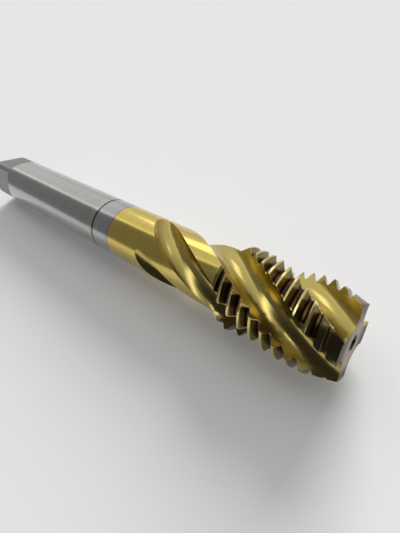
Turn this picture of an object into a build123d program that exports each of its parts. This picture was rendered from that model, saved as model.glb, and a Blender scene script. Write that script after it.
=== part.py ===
import os
from math import atan2, ceil, cos, radians, sin, sqrt, tan

from build123d import *

# A spiral-flute machine tap, M18 x 2.5, ground from one bar of high-speed steel.
# Millimetres. The tap is drawn standing on its driving square, with its axis along +Z and
# angles counted from +X. At the end it is laid down as it rests on a table: the tip points
# to +X, the angle zero is on top, and the origin is below its middle, on the table.

# Overall
overall_length = 125.0
shank_diameter = 14.0

# Driving square, whose flats slope out to the shank
square_width = 11.0
square_length = 10.0
square_runout_angle = 38.0
square_turn = -21.5
end_round = 0.7

# Ring turned on the shank
ring_from_tip = 66.8
ring_width = 0.5
ring_depth = 0.15

# Threaded head, from the shoulder behind it to its tapered lead
thread_diameter = 18.0
thread_pitch = 2.5
thread_angle = 60.0
thread_depth = 1.5
thread_root_flat = 0.42
thread_length = 24.0
thread_turn = 19.5
shoulder_length = 2.9
lead_length = 5.7
lead_relief = 0.35
tip_diameter = 15.3

# Flutes
flute_count = 4
flute_lead = 85.0
flute_length = 41.8
flute_core_diameter = 8.6
flute_bottom_radius = 3.65
cutting_face_angle = 25.0
heel_face_angle = 29.0
flute_turn = 4.5
flute_runout_radius = 13.0
flute_runout_lean = 18.0

# Centre holes
centre_diameter = 3.2
centre_angle = 60.0
centre_pilot_diameter = 1.5
centre_pilot_length = 2.5

# Thread crest on which the laid tap rests, counted from the tip
rest_from_tip = 15.3

# Cutters
cut_margin = 1.0
gap_spacing = 0.05
spare_turn = 12.0
station_turn = 15.0

shank_radius = shank_diameter / 2
thread_radius = thread_diameter / 2
tip_radius = tip_diameter / 2
land_pitch = 360 / flute_count
land_width = land_pitch - cutting_face_angle - heel_face_angle
centre_radius = centre_diameter / 2
pilot_radius = centre_pilot_diameter / 2
core_radius = flute_core_diameter / 2
flat_distance = square_width / 2
thread_start = overall_length - thread_length


def half_section(outline):
    """A face beside the axis, from an outline of (radius, height) points."""
    return make_face(Plane.XZ * Polyline(*outline, close=True))


def make_blank():
    """Shank, ring, shoulder and thread diameter, as they come off the lathe."""
    ring_height = overall_length - ring_from_tip
    outline = [
        (0, 0),
        (shank_radius, 0),
        (shank_radius, ring_height - ring_width / 2),
        (shank_radius - ring_depth, ring_height),
        (shank_radius, ring_height + ring_width / 2),
        (shank_radius, thread_start - shoulder_length),
        (thread_radius, thread_start),
        (thread_radius, overall_length),
        (0, overall_length),
    ]
    section = half_section(outline)
    end_corner = section.vertices().group_by(Axis.Z)[0].sort_by(Axis.X)[-1]
    return revolve(fillet(end_corner, end_round), Axis.Z)


def make_centre_cutter():
    """A centre hole that opens downwards at height zero, a cone with a pilot above it."""
    cone_height = (centre_radius - pilot_radius) / tan(radians(centre_angle / 2))
    outline = [
        (0, -cut_margin),
        (centre_radius, -cut_margin),
        (centre_radius, 0),
        (pilot_radius, cone_height),
        (pilot_radius, cone_height + centre_pilot_length),
        (0, cone_height + centre_pilot_length),
    ]
    return revolve(half_section(outline), Axis.Z)


def make_square_cutters():
    """Four cutters that leave the driving square."""
    reach = shank_radius + cut_margin
    slope_length = (reach - flat_distance) / tan(radians(square_runout_angle))
    outline = [
        (flat_distance, -cut_margin),
        (reach, -cut_margin),
        (reach, square_length + slope_length),
        (flat_distance, square_length),
    ]
    cutter = extrude(half_section(outline), amount=reach, both=True)
    return [Rot(0, 0, square_turn + 90 * number) * cutter for number in range(4)]


def flute_angle(height):
    """Angle of the first flute's middle at a height."""
    return flute_turn + 360 * (height - overall_length) / flute_lead


def make_flute_section(rise):
    """A flute across the axis: a cutting face and a heel face, tangent to a round bottom."""
    centre = core_radius + flute_bottom_radius + rise
    reach = thread_radius + cut_margin + rise
    cutting = radians(cutting_face_angle)
    heel = radians(heel_face_angle)
    bottom = Vector(centre - flute_bottom_radius, 0)
    cutting_foot = Vector(centre, 0) - flute_bottom_radius * Vector(sin(cutting), cos(cutting))
    heel_foot = Vector(centre, 0) - flute_bottom_radius * Vector(sin(heel), -cos(heel))
    cutting_end = cutting_foot + (reach - cutting_foot.X) * Vector(1, -tan(cutting))
    heel_end = heel_foot + (reach - heel_foot.X) * Vector(1, tan(heel))
    return make_face(
        [
            Line(cutting_end, cutting_foot),
            ThreePointArc(cutting_foot, bottom, heel_foot),
            Line(heel_foot, heel_end),
            Line(heel_end, cutting_end),
        ]
    )


def make_flute_cutter():
    """The first flute, a helix whose rear end climbs an arc and leaves through the neck."""
    climb = shank_radius + cut_margin - core_radius
    runout_length = sqrt(2 * flute_runout_radius * climb - climb**2)
    full_length = flute_length + cut_margin
    runout_start = overall_length - flute_length
    runout_steps = ceil(360 * runout_length / flute_lead / station_turn) + 2
    full_steps = ceil(360 * full_length / flute_lead / station_turn)
    runout_part = [runout_length * (step / runout_steps - 1) for step in range(runout_steps)]
    full_part = [full_length * step / full_steps for step in range(full_steps + 1)]
    sections = []
    for station in runout_part + full_part:
        back = max(-station, 0)
        rise = flute_runout_radius - sqrt(flute_runout_radius**2 - back**2)
        lean = -rise * tan(radians(flute_runout_lean))
        height = runout_start + station
        turned = Rot(0, 0, flute_angle(height)) * Pos(0, lean, height)
        sections.append(turned * make_flute_section(rise))
    return loft(sections)


def make_relief_section(nominal):
    """Outside of the tapered lead over one land, lower towards the heel than at the cutting edge."""
    reach = thread_radius + cut_margin
    front = -cutting_face_angle + spare_turn
    back = -cutting_face_angle - land_width - spare_turn
    relief_rate = lead_relief / land_width

    def on_lead(angle):
        radius = nominal + relief_rate * (angle + cutting_face_angle)
        return Vector(radius, 0).rotate(Axis.Z, angle)

    def outside(angle):
        return Vector(reach, 0).rotate(Axis.Z, angle)

    middle = (front + back) / 2
    return make_face(
        [
            ThreePointArc(on_lead(back), on_lead(middle), on_lead(front)),
            Line(on_lead(front), outside(front)),
            ThreePointArc(outside(front), outside(middle), outside(back)),
            Line(outside(back), on_lead(back)),
        ]
    )


def make_relief_cutter():
    """Grinds the lead of the land beside the first flute, turning with the flute."""
    slope = (thread_radius - tip_radius) / lead_length
    full_length = lead_length + 2 * lead_relief / slope + cut_margin
    steps = ceil(360 * full_length / flute_lead / station_turn)
    sections = []
    for step in range(steps + 1):
        height = overall_length + cut_margin - full_length * step / steps
        nominal = tip_radius + slope * (overall_length - height)
        turned = Rot(0, 0, flute_angle(height)) * Pos(0, 0, height)
        sections.append(turned * make_relief_section(nominal))
    return loft(sections)


def make_gap_cutter(span):
    """The V gap between two thread turns, over a span of angle centred on zero."""
    root_radius = thread_radius - thread_depth
    half_root = thread_root_flat / 2
    half_mouth = (thread_pitch - gap_spacing) / 2
    mouth_radius = root_radius + (half_mouth - half_root) / tan(radians(thread_angle / 2))
    outline = [
        (root_radius, -half_root),
        (mouth_radius, -half_mouth),
        (mouth_radius, half_mouth),
        (root_radius, half_root),
    ]
    rise = thread_pitch * span / 360
    path = Helix(thread_pitch, rise, root_radius)
    gap = sweep(half_section(outline), path, is_frenet=True)
    return Rot(0, 0, -span / 2) * Pos(0, 0, -rise / 2) * gap


def make_gap_cutters():
    """The gap cutter, screwed back from the tip to each land that the thread crosses."""
    cutter = make_gap_cutter(land_width + 2 * spare_turn)
    last_height = thread_start - thread_pitch / 2
    turns = ceil((overall_length - last_height) / thread_pitch)
    cutters = []
    for crossing in range(-1, flute_count * turns):
        land_angle = flute_turn + land_pitch * (0.5 - crossing)
        gap_angle = (land_angle - thread_turn) / (1 - thread_pitch / flute_lead)
        gap_height = overall_length + thread_pitch * gap_angle / 360
        if gap_height > last_height:
            cutters.append(Pos(0, 0, gap_height) * Rot(0, 0, thread_turn + gap_angle) * cutter)
    return cutters


def around(cutter):
    """A cutter repeated for every flute."""
    return [Rot(0, 0, land_pitch * number) * cutter for number in range(flute_count)]


def make_tap():
    """The whole tap, standing on its square."""
    centre = make_centre_cutter()
    tip_centre = Pos(0, 0, overall_length) * Rot(180, 0, 0) * centre
    fluted = make_blank() - [centre, tip_centre, *make_square_cutters()] - around(make_flute_cutter())
    return fluted - around(make_relief_cutter()) - make_gap_cutters()


def lay_down(tap):
    """The tap resting on its shank, just ahead of the square, and on its thread crests."""
    flat_slope = tan(radians(square_runout_angle))
    shank_contact = square_length + (shank_radius * cos(radians(square_turn)) - flat_distance) / flat_slope
    crest_contact = overall_length - rest_from_tip
    tilt = atan2(thread_radius - shank_radius, crest_contact - shank_contact)
    middle = overall_length / 2 * cos(tilt)
    axis_height = shank_radius * cos(tilt) - shank_contact * sin(tilt)
    lying = Plane(
        origin=(-middle, 0, axis_height),
        x_dir=(-sin(tilt), 0, cos(tilt)),
        z_dir=(cos(tilt), 0, sin(tilt)),
    )
    return lying * tap


tap = lay_down(make_tap())
os.makedirs("parts", exist_ok=True)
export_step(tap, "parts/thread_tap.step")
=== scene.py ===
import math

import bpy
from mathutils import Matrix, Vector

# A spiral-flute machine tap lying on a pale table, in metres.
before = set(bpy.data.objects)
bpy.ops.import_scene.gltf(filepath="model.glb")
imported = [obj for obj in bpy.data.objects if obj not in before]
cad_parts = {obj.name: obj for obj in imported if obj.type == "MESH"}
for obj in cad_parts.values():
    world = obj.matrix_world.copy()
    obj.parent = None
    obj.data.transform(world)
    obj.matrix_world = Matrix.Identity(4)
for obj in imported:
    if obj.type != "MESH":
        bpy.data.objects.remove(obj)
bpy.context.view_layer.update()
print("frame loaded")


# helpers for building node trees

def addNode(tree, kind, **settings):
    node = tree.nodes.new(kind)
    for name, value in settings.items():
        setattr(node, name, value)
    return node


def feed(tree, socket, value):
    # a number or colour is set, a socket is linked
    if isinstance(value, bpy.types.NodeSocket):
        tree.links.new(value, socket)
    else:
        socket.default_value = value


def feedInOrder(tree, node, values):
    for socket, value in zip(node.inputs, values):
        feed(tree, socket, value)


def calc(tree, operation, *values):
    node = addNode(tree, "ShaderNodeMath", operation=operation)
    feedInOrder(tree, node, values)
    return node.outputs[0]


def fade(tree, value, start, end, low=0.0, high=1.0, shape="SMOOTHSTEP"):
    # from low to high as value goes from start to end
    node = addNode(tree, "ShaderNodeMapRange", interpolation_type=shape)
    feedInOrder(tree, node, (value, start, end, low, high))
    return node.outputs[0]


def swing(tree, value, noise, amount):
    # the value, pushed up and down by a noise that lies around one half
    return calc(tree, "MULTIPLY_ADD", calc(tree, "SUBTRACT", noise, 0.5), amount, value)


def blend(tree, kind, factor, first, second):
    node = addNode(tree, "ShaderNodeMix", data_type=kind)
    for label, value in (("Factor", factor), ("A", first), ("B", second)):
        feed(tree, node.inputs[label], value)
    return node.outputs["Result"]


def blendColors(tree, factor, first, second):
    return blend(tree, "RGBA", factor, first, second)


def blendValues(tree, factor, first, second):
    return blend(tree, "FLOAT", factor, first, second)


def vectorOf(tree, x, y, z):
    node = addNode(tree, "ShaderNodeCombineXYZ")
    feedInOrder(tree, node, (x, y, z))
    return node.outputs[0]


def noiseOf(tree, place, scale, detail, roughness):
    node = addNode(tree, "ShaderNodeTexNoise")
    feed(tree, node.inputs["Vector"], place)
    node.inputs["Scale"].default_value = scale
    node.inputs["Detail"].default_value = detail
    node.inputs["Roughness"].default_value = roughness
    return node.outputs["Fac"]


def newGroup(name, inputs, outputs):
    group = bpy.data.node_groups.new(name, "ShaderNodeTree")
    for kind, label, value in inputs:
        socket = group.interface.new_socket(label, in_out="INPUT", socket_type=kind)
        if value is not None:
            socket.default_value = value
    for kind, label in outputs:
        group.interface.new_socket(label, in_out="OUTPUT", socket_type=kind)
    return group, addNode(group, "NodeGroupInput"), addNode(group, "NodeGroupOutput")


def useGroup(tree, group, **values):
    node = addNode(tree, "ShaderNodeGroup")
    node.node_tree = group
    for label, value in values.items():
        feed(tree, node.inputs[label.replace("_", " ")], value)
    return node


# millimetres and degrees, the same named sizes as the part
tapSizes = {
    "shankRadius": 7.0,
    "ringFromTip": 66.8,
    "threadRadius": 9.0,
    "leadLength": 5.7,
    "tipRadius": 7.65,
    "fluteCount": 4,
    "fluteLead": 85.0,
    "fluteLength": 41.8,
    "fluteTurn": 4.5,
    "coreRadius": 4.3,
    "bottomRadius": 3.65,
    "cuttingAngle": 25.0,
    "heelAngle": 29.0,
    "runoutRadius": 13.0,
    "runoutLean": 18.0,
    "tilt": 1.1643,
    "tipCentre": (62.4871, 0.0, 9.30902),
    # where each mask starts and where it is full
    "landMask": (0.03, 0.1),  # outside the flute
    "edgeInnerMask": (0.02, 0.05),
    "edgeOuterMask": (0.22, 0.1),
    "edgeEndMask": (46.0, 42.0),  # from the tip
    "heelMask": (0.5, 4.5),  # nearer to the heel than to the cutting face
}

mmPerMetre = 1000


def distanceOf(tree, first, second):
    squares = calc(tree, "ADD", calc(tree, "POWER", first, 2), calc(tree, "POWER", second, 2))
    return calc(tree, "SQRT", squares)


def makeTapPlace():
    # from object coordinates to the place along and around the tap, in millimetres and turns
    group, given, result = newGroup(
        "tapPlace",
        [("NodeSocketVector", "Point", None)],
        [
            ("NodeSocketFloat", "From Tip"),
            ("NodeSocketFloat", "Radius"),
            ("NodeSocketFloat", "Around"),
            ("NodeSocketFloat", "Land"),
            ("NodeSocketFloat", "Across Flute"),
            ("NodeSocketFloat", "Edge"),
            ("NodeSocketFloat", "Heel Face"),
        ],
    )
    tilt = math.radians(tapSizes["tilt"])
    alongAxis = Vector((math.cos(tilt), 0, math.sin(tilt)))
    upAxis = Vector((-math.sin(tilt), 0, math.cos(tilt)))
    sideAxis = Vector((0, -1, 0))

    fromCentre = addNode(group, "ShaderNodeVectorMath", operation="MULTIPLY_ADD")
    feed(group, fromCentre.inputs[0], given.outputs["Point"])
    fromCentre.inputs[1].default_value = (mmPerMetre, mmPerMetre, mmPerMetre)
    fromCentre.inputs[2].default_value = [-number for number in tapSizes["tipCentre"]]

    def along(direction):
        dot = addNode(group, "ShaderNodeVectorMath", operation="DOT_PRODUCT")
        feed(group, dot.inputs[0], fromCentre.outputs[0])
        dot.inputs[1].default_value = direction
        return dot.outputs["Value"]

    fromTip = calc(group, "MULTIPLY", along(alongAxis), -1)
    up = along(upAxis)
    side = along(sideAxis)
    radius = distanceOf(group, up, side)
    angle = calc(group, "ARCTAN2", side, up)

    # angle from the middle of the nearest flute
    fluteRate = -2 * math.pi / tapSizes["fluteLead"]
    fluteTurn = math.radians(tapSizes["fluteTurn"])
    fluteMiddle = calc(group, "MULTIPLY_ADD", fromTip, fluteRate, fluteTurn)
    halfPitch = math.pi / tapSizes["fluteCount"]
    fromFlute = calc(group, "SUBTRACT", angle, fluteMiddle)
    fromFlute = calc(group, "WRAP", fromFlute, halfPitch, -halfPitch)

    # the flute's section rises and leans where it runs out
    runout = tapSizes["runoutRadius"]
    back = calc(group, "MAXIMUM", calc(group, "SUBTRACT", fromTip, tapSizes["fluteLength"]), 0)
    back = calc(group, "MINIMUM", back, runout)
    arc = calc(group, "SUBTRACT", runout ** 2, calc(group, "POWER", back, 2))
    arc = calc(group, "SQRT", arc)
    rise = calc(group, "SUBTRACT", runout, arc)
    lean = calc(group, "MULTIPLY", rise, -math.tan(math.radians(tapSizes["runoutLean"])))
    outwards = calc(group, "MULTIPLY", radius, calc(group, "COSINE", fromFlute))
    outwards = calc(group, "SUBTRACT", outwards, rise)
    sideways = calc(group, "MULTIPLY", radius, calc(group, "SINE", fromFlute))
    sideways = calc(group, "SUBTRACT", sideways, lean)

    # distance outside the flute, from its two straight faces and its round bottom
    bottomCentre = tapSizes["coreRadius"] + tapSizes["bottomRadius"]
    cutting = math.radians(tapSizes["cuttingAngle"])
    heel = math.radians(tapSizes["heelAngle"])
    proud = calc(group, "SUBTRACT", outwards, bottomCentre)
    heelSide = calc(
        group, "SUBTRACT",
        calc(group, "MULTIPLY", sideways, math.cos(heel)),
        calc(group, "MULTIPLY", proud, math.sin(heel)),
    )
    cuttingSide = calc(
        group, "SUBTRACT",
        calc(group, "MULTIPLY", sideways, -math.cos(cutting)),
        calc(group, "MULTIPLY", proud, math.sin(cutting)),
    )
    depth = calc(group, "SUBTRACT", bottomCentre, outwards)
    fromBottom = distanceOf(group, depth, sideways)
    slope = math.tan((cutting + heel) / 2)
    bottomDepth = calc(group, "MULTIPLY", calc(group, "ABSOLUTE", sideways), slope)
    inBottom = calc(group, "GREATER_THAN", depth, bottomDepth)
    fromFaces = calc(group, "MAXIMUM", heelSide, cuttingSide)
    outside = blendValues(group, inBottom, fromFaces, fromBottom)
    outside = calc(group, "SUBTRACT", outside, tapSizes["bottomRadius"])

    land = fade(group, outside, *tapSizes["landMask"])
    towardsHeel = calc(group, "SUBTRACT", heelSide, cuttingSide)
    heelFace = fade(group, towardsHeel, *tapSizes["heelMask"])
    edge = calc(
        group, "MULTIPLY",
        fade(group, outside, *tapSizes["edgeInnerMask"]),
        fade(group, outside, *tapSizes["edgeOuterMask"]),
    )
    edge = calc(group, "MULTIPLY", edge, fade(group, fromTip, *tapSizes["edgeEndMask"]))

    feed(group, result.inputs["From Tip"], fromTip)
    feed(group, result.inputs["Radius"], radius)
    feed(group, result.inputs["Around"], calc(group, "DIVIDE", angle, 2 * math.pi))
    feed(group, result.inputs["Land"], land)
    feed(group, result.inputs["Across Flute"], sideways)
    feed(group, result.inputs["Edge"], edge)
    feed(group, result.inputs["Heel Face"], heelFace)
    return group


grindingMarks = {
    "fineNoise": (1.0, 3.0, 0.7),  # scale, detail and roughness
    "broadNoise": (1.0, 2.0, 0.6),
    "broadAcross": 0.14,
    "broadAlong": 0.4,
    "broadOffset": 7.3,
}


def makeGrinding():
    # fine parallel scratches, close together across them and long along them
    group, given, result = newGroup(
        "grinding",
        [
            ("NodeSocketFloat", "Across", 0.0),
            ("NodeSocketFloat", "Along", 0.0),
            ("NodeSocketFloat", "Lines Per Mm", 6.0),
            ("NodeSocketFloat", "Length", 12.0),
        ],
        [("NodeSocketFloat", "Height"), ("NodeSocketFloat", "Streaks")],
    )
    across = calc(group, "MULTIPLY", given.outputs["Across"], given.outputs["Lines Per Mm"])
    along = calc(group, "DIVIDE", given.outputs["Along"], given.outputs["Length"])
    finePlace = vectorOf(group, across, along, 0)
    broadPlace = vectorOf(
        group,
        calc(group, "MULTIPLY", across, grindingMarks["broadAcross"]),
        calc(group, "MULTIPLY", along, grindingMarks["broadAlong"]),
        grindingMarks["broadOffset"],
    )
    fine = noiseOf(group, finePlace, *grindingMarks["fineNoise"])
    broad = noiseOf(group, broadPlace, *grindingMarks["broadNoise"])
    feed(group, result.inputs["Height"], fine)
    feed(group, result.inputs["Streaks"], broad)
    return group


tapPlace = makeTapPlace()
grinding = makeGrinding()

tapFinish = {
    # painted shade: the square steel, flute and heel golds, flank, groove, lead crest and hole
    # colours; painted highlights: the crest and edge colours
    "colors": {
        "steel": (0.47, 0.463, 0.447, 1),
        "bandSteel": (0.45, 0.448, 0.455, 1),
        "shadedSquareSteel": (0.23, 0.228, 0.223, 1),
        "ringTint": (0.42, 0.43, 0.16, 1),
        "ringDark": (0.06, 0.05, 0.03, 1),
        "fringeBlue": (0.26, 0.22, 0.27, 1),
        "fringeRose": (0.62, 0.38, 0.27, 1),
        "gold": (0.68, 0.53, 0.135, 1),
        "shadedFluteGold": (0.555, 0.445, 0.135, 1),
        "shadedHeelGold": (0.415, 0.33, 0.11, 1),
        "shadedFlank": (0.225, 0.172, 0.075, 1),
        "grooveShade": (0.07, 0.042, 0.02, 1),
        "crest": (0.74, 0.6, 0.25, 1),
        "leadCrestShade": (0.235, 0.212, 0.12, 1),
        "paintedEdgeHighlight": (0.66, 0.56, 0.28, 1),
        "endFace": (0.42, 0.365, 0.3, 1),
        "endRim": (0.11, 0.098, 0.065, 1),
        "holeShade": (0.07, 0.055, 0.06, 1),
    },
    # millimetres: where each colour starts and where it is full
    "bands": {
        # from the tip
        "band": (66.95, 66.75),
        "ringTintFront": (66.0, 66.5),
        "ringTintBack": (67.1, 66.9),
        "fringeBlue": (60.8, 60.55),
        "fringeRose": (60.55, 60.35),
        "coat": (60.3, 59.8),
        "square": (100.0, 101.0),
        "thread": (27.0, 26.3),
        "leadCrestShade": (5.5, 4.0),
        "end": (0.05, 0.01),
        "hole": (8.0, 7.0),
        # from the middle of the ring
        "ring": (0.28, 0.2),
        # from the axis
        "flatRadius": (6.94, 6.88),
        "rimRadius": (3.0, 6.8),
        "holeRadius": (1.63, 1.5),
        # below the crest
        "grooveShade": (0.75, 1.35),
        "crest": (0.17, 0.06),
    },
    "surface": {
        "ringTintShare": 0.8,
        "coatWander": 0.5,  # millimetres by which the stains push a border
        "grooveWander": 0.8,
        "rimWander": 7.0,
        "stains": (140.0, 4.0, 0.6),  # scale, detail and roughness of the noise
        "specks": (7000.0, 2.0, 0.6),
        "shankMarks": {"Lines_Per_Mm": 7.0, "Length": 14.0},
        "fluteMarks": {"Lines_Per_Mm": 5.0, "Length": 10.0},
        "streakTone": (0.3, 0.7, 0.96, 1.03),  # noise from and to, then tone from and to
        "stainTone": (0.3, 0.7, 0.98, 1.02),
        "steelRoughness": 0.2,
        "coatRoughness": 0.18,
        "fluteRoughness": 0.21,
        "streakRoughness": 0.05,
        "flatRoughness": 0.34,
        "endRoughness": (0.35, 0.65, 0.42, 0.6),  # noise from and to, then roughness
        "speckHeight": 14.0,
        "bumpStrength": 0.15,
        "bumpDistance": 0.000008,
    },
}


def makeTapMaterial():
    material = bpy.data.materials.new("tapSteelAndCoating")
    material.use_nodes = True
    tree = material.node_tree
    shader = tree.nodes["Principled BSDF"]
    shader.inputs["Metallic"].default_value = 1.0
    colors = tapFinish["colors"]
    bands = tapFinish["bands"]
    surface = tapFinish["surface"]
    point = addNode(tree, "ShaderNodeTexCoord").outputs["Object"]
    place = useGroup(tree, tapPlace, Point=point)
    fromTip = place.outputs["From Tip"]
    radius = place.outputs["Radius"]
    land = place.outputs["Land"]

    # grinding runs around the shank, and along the flutes
    shankGirth = 2 * math.pi * tapSizes["shankRadius"]
    shankMarks = useGroup(
        tree, grinding, Across=fromTip,
        Along=calc(tree, "MULTIPLY", place.outputs["Around"], shankGirth),
        **surface["shankMarks"],
    )
    fluteMarks = useGroup(
        tree, grinding, Across=calc(tree, "ADD", place.outputs["Across Flute"], radius),
        Along=fromTip, **surface["fluteMarks"],
    )
    height = blendValues(tree, land, fluteMarks.outputs["Height"], shankMarks.outputs["Height"])
    streaks = blendValues(tree, land, fluteMarks.outputs["Streaks"], shankMarks.outputs["Streaks"])
    stains = noiseOf(tree, point, *surface["stains"])

    # steel shank, with a tint on both sides of the dark ring
    band = fade(tree, fromTip, *bands["band"])
    color = blendColors(tree, band, colors["steel"], colors["bandSteel"])
    ringTint = calc(
        tree, "MULTIPLY",
        fade(tree, fromTip, *bands["ringTintFront"]),
        fade(tree, fromTip, *bands["ringTintBack"]),
    )
    ringTint = calc(tree, "MULTIPLY", ringTint, surface["ringTintShare"])
    color = blendColors(tree, ringTint, color, colors["ringTint"])
    fromRing = calc(tree, "ABSOLUTE", calc(tree, "SUBTRACT", fromTip, tapSizes["ringFromTip"]))
    ring = fade(tree, fromRing, *bands["ring"])
    color = blendColors(tree, ring, color, colors["ringDark"])

    # blue and rose fringes, then the gold coat, painted darker in the flutes and darker still on
    # the heel faces as painted shade
    coatEdge = swing(tree, fromTip, stains, surface["coatWander"])
    blueFringe = fade(tree, coatEdge, *bands["fringeBlue"])
    color = blendColors(tree, blueFringe, color, colors["fringeBlue"])
    roseFringe = fade(tree, coatEdge, *bands["fringeRose"])
    color = blendColors(tree, roseFringe, color, colors["fringeRose"])
    coated = fade(tree, coatEdge, *bands["coat"])
    heelFace = place.outputs["Heel Face"]
    # inside the flutes the gold is painted darker as painted shade, darkest on the heel faces
    shadedFluteColor = blendColors(tree, heelFace, colors["shadedFluteGold"], colors["shadedHeelGold"])
    coatColor = blendColors(tree, land, shadedFluteColor, colors["gold"])
    color = blendColors(tree, coated, color, coatColor)

    # the square's flats are rougher than the round shank, and their steel is painted darker as
    # painted shade
    flats = calc(
        tree, "MULTIPLY",
        fade(tree, fromTip, *bands["square"]),
        fade(tree, radius, *bands["flatRadius"]),
    )
    color = blendColors(tree, flats, color, colors["shadedSquareSteel"])

    # ground threads: flanks painted dark brown and grooves painted near black as painted shade,
    # crests painted pale as a painted highlight that turns dark near the lead as painted shade,
    # and flute edges painted pale as a painted highlight
    thread = calc(tree, "MULTIPLY", land, fade(tree, fromTip, *bands["thread"]))
    leadDrop = fade(
        tree, fromTip, tapSizes["leadLength"], 0.0,
        0.0, tapSizes["threadRadius"] - tapSizes["tipRadius"], "LINEAR",
    )
    crestRadius = calc(tree, "SUBTRACT", tapSizes["threadRadius"], leadDrop)
    belowCrest = calc(tree, "SUBTRACT", crestRadius, radius)
    color = blendColors(tree, thread, color, colors["shadedFlank"])
    # the deep grooves are painted near black as painted shade
    grooveShade = swing(tree, belowCrest, stains, surface["grooveWander"])
    grooveShade = calc(tree, "MULTIPLY", thread, fade(tree, grooveShade, *bands["grooveShade"]))
    color = blendColors(tree, grooveShade, color, colors["grooveShade"])
    # pale crests are a painted highlight, turning dark near the lead as painted shade
    crest = calc(tree, "MULTIPLY", thread, fade(tree, belowCrest, *bands["crest"]))
    leadCrestShade = fade(tree, fromTip, *bands["leadCrestShade"])
    crestColor = blendColors(tree, leadCrestShade, colors["crest"], colors["leadCrestShade"])
    color = blendColors(tree, crest, color, crestColor)
    # the flute edges are painted pale as a painted highlight
    color = blendColors(tree, place.outputs["Edge"], color, colors["paintedEdgeHighlight"])

    # mottled end face with a dark rim, and the centre hole painted dark as painted shade
    rim = fade(tree, swing(tree, radius, stains, surface["rimWander"]), *bands["rimRadius"])
    endColor = blendColors(tree, rim, colors["endFace"], colors["endRim"])
    end = fade(tree, fromTip, *bands["end"])
    color = blendColors(tree, end, color, endColor)
    hole = calc(
        tree, "MULTIPLY",
        fade(tree, radius, *bands["holeRadius"]),
        fade(tree, fromTip, *bands["hole"]),
    )
    color = blendColors(tree, hole, color, colors["holeShade"])

    # streaks and stains vary the tone a little
    tone = calc(
        tree, "MULTIPLY",
        fade(tree, streaks, *surface["streakTone"]),
        fade(tree, stains, *surface["stainTone"]),
    )
    toned = addNode(tree, "ShaderNodeVectorMath", operation="SCALE")
    feed(tree, toned.inputs[0], color)
    feed(tree, toned.inputs["Scale"], tone)
    feed(tree, shader.inputs["Base Color"], toned.outputs[0])

    roughness = blendValues(tree, land, surface["fluteRoughness"], surface["coatRoughness"])
    roughness = blendValues(tree, coated, surface["steelRoughness"], roughness)
    roughness = swing(tree, roughness, streaks, surface["streakRoughness"])
    roughness = blendValues(tree, flats, roughness, surface["flatRoughness"])
    endRoughness = fade(tree, stains, *surface["endRoughness"])
    roughness = blendValues(tree, end, roughness, endRoughness)
    feed(tree, shader.inputs["Roughness"], roughness)

    # torn specks left in the thread grooves
    specks = noiseOf(tree, point, *surface["specks"])
    specks = calc(tree, "MULTIPLY", grooveShade, specks)
    height = calc(tree, "MULTIPLY_ADD", specks, surface["speckHeight"], height)
    bump = addNode(tree, "ShaderNodeBump")
    bump.inputs["Strength"].default_value = surface["bumpStrength"]
    bump.inputs["Distance"].default_value = surface["bumpDistance"]
    feed(tree, bump.inputs["Height"], height)
    feed(tree, shader.inputs["Normal"], bump.outputs["Normal"])
    return material


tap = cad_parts["thread_tap"]
tap.data.materials[0] = makeTapMaterial()
print("tap finished")


paleFloor = {
    "size": 40.0,
    "drop": 0.00002,
    "color": (0.9, 0.9, 0.9, 1),
    "roughness": 0.9,
    "specular": 0.0,
    "glowColor": (1, 1, 1, 1),
    "glow": 0.12,
}


def makeFloor():
    bpy.ops.mesh.primitive_plane_add(size=paleFloor["size"], location=(0, 0, -paleFloor["drop"]))
    floor = bpy.context.object
    floor.name = "paleFloor"
    material = bpy.data.materials.new("paleFloor")
    material.use_nodes = True
    tree = material.node_tree
    shader = tree.nodes["Principled BSDF"]
    shader.inputs["Roughness"].default_value = paleFloor["roughness"]
    shader.inputs["Specular IOR Level"].default_value = paleFloor["specular"]
    shader.inputs["Base Color"].default_value = paleFloor["color"]
    # the glow is seen directly and in the metal, and lights nothing
    rays = addNode(tree, "ShaderNodeLightPath")
    seen = calc(tree, "MAXIMUM", rays.outputs["Is Camera Ray"], rays.outputs["Is Glossy Ray"])
    seen = calc(tree, "MAXIMUM", seen, rays.outputs["Is Transmission Ray"])
    glow = calc(tree, "MULTIPLY", seen, paleFloor["glow"])
    shader.inputs["Emission Color"].default_value = paleFloor["glowColor"]
    feed(tree, shader.inputs["Emission Strength"], glow)
    floor.data.materials.append(material)


# where the sky's brightness starts and stops changing, then its two levels
surroundings = {
    "split": (-0.09, 0.03),
    "horizon": (0.0, 0.25, 0.74, 1.0),
    "farSide": (-0.85, 0.1, 0.86, 0.52),  # along the tap, from the square to the tip
    "nearSide": (-1.0, -0.1, 0.28, 0.045),
    "color": (1, 1, 1, 1),
}


def makeWorld():
    # a bright far side and a dim near side, split along the tap
    world = bpy.data.worlds.new("studio")
    bpy.context.scene.world = world
    world.use_nodes = True
    tree = world.node_tree
    direction = addNode(tree, "ShaderNodeTexCoord").outputs["Generated"]
    parts = addNode(tree, "ShaderNodeSeparateXYZ")
    feed(tree, parts.inputs[0], direction)
    along = parts.outputs["X"]
    across = parts.outputs["Y"]
    farness = fade(tree, across, *surroundings["split"])
    farSide = calc(
        tree, "MULTIPLY",
        fade(tree, parts.outputs["Z"], *surroundings["horizon"]),
        fade(tree, along, *surroundings["farSide"], "LINEAR"),
    )
    nearSide = fade(tree, along, *surroundings["nearSide"], "LINEAR")
    level = blendValues(tree, farness, nearSide, farSide)
    background = tree.nodes["Background"]
    background.inputs["Color"].default_value = surroundings["color"]
    feed(tree, background.inputs["Strength"], level)


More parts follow.
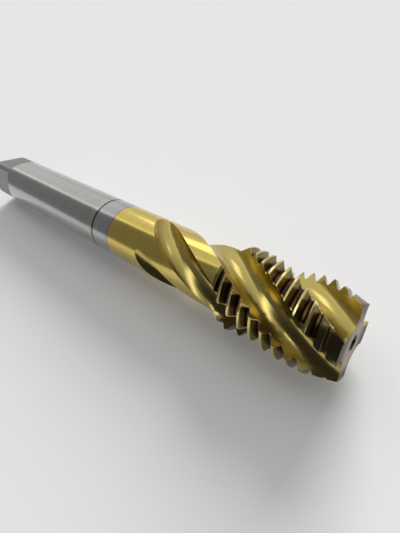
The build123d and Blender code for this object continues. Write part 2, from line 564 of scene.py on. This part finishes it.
# soft boxes that shape the highlights on the metal and leave the floor alone
softLights = {
    "key": {
        "location": (-0.296, 0.393, 0.344), "target": (0, 0, 0),
        "size": (0.3, 0.17), "power": 0.22,
    },
    "ceiling": {
        "location": (0.0, 0.01, 0.45), "turn": -35.5,
        "size": (0.09, 0.56), "power": 0.38,
    },
    "rearStrip": {
        "location": (-0.42, 0.01, 0.36), "target": (0, 0, 0),
        "size": (0.03, 0.5), "power": 0.036,
    },
    "front": {
        "location": (0.236, -0.07, 0.46), "target": (0.05, 0, 0),
        "size": (0.035, 0.035), "power": 0.055,
    },
}

# an even light for the floor and its shadow, low from the far side
floorLight = {
    "power": 2.9,
    "spread": 30.0,
    "aim": (0.5, -2.1, -1.0),
}


def placeInScene(name, data):
    holder = bpy.data.objects.new(name, data)
    bpy.context.collection.objects.link(holder)
    return holder


def aimAlong(holder, direction):
    holder.rotation_euler = Vector(direction).to_track_quat("-Z", "Y").to_euler()


def addSoftLight(name, look):
    light = bpy.data.lights.new(name, "AREA")
    light.shape = "RECTANGLE"
    light.size, light.size_y = look["size"]
    light.energy = look["power"]
    holder = placeInScene(name, light)
    holder.location = look["location"]
    if "target" in look:
        aimAlong(holder, Vector(look["target"]) - Vector(look["location"]))
    else:
        holder.rotation_euler = (0, 0, math.radians(look["turn"]))  # straight down
    holder.visible_diffuse = False


def addFloorLight():
    light = bpy.data.lights.new("floorLight", "SUN")
    light.energy = floorLight["power"]
    light.angle = math.radians(floorLight["spread"])
    holder = placeInScene("floorLight", light)
    aimAlong(holder, floorLight["aim"])
    holder.visible_glossy = False


cameraView = {
    "location": (0.0724013, -0.0323134, 0.0704825),
    "turn": (44.5687, 10.0496, 37.6141),
    "sensor": 36.0,
    "lens": 24.902,
    "shift": (-0.04439, -0.05517),
    "nearClip": 0.005,
}


def makeCamera():
    camera = bpy.data.cameras.new("camera")
    camera.sensor_width = cameraView["sensor"]
    camera.lens = cameraView["lens"]
    camera.shift_x, camera.shift_y = cameraView["shift"]
    camera.clip_start = cameraView["nearClip"]
    holder = placeInScene("camera", camera)
    holder.location = cameraView["location"]
    holder.rotation_euler = [math.radians(angle) for angle in cameraView["turn"]]
    bpy.context.scene.camera = holder


makeFloor()
makeWorld()
for name, look in softLights.items():
    addSoftLight(name, look)
addFloorLight()
makeCamera()
bpy.context.scene.view_settings.view_transform = "Standard"
print("studio ready")
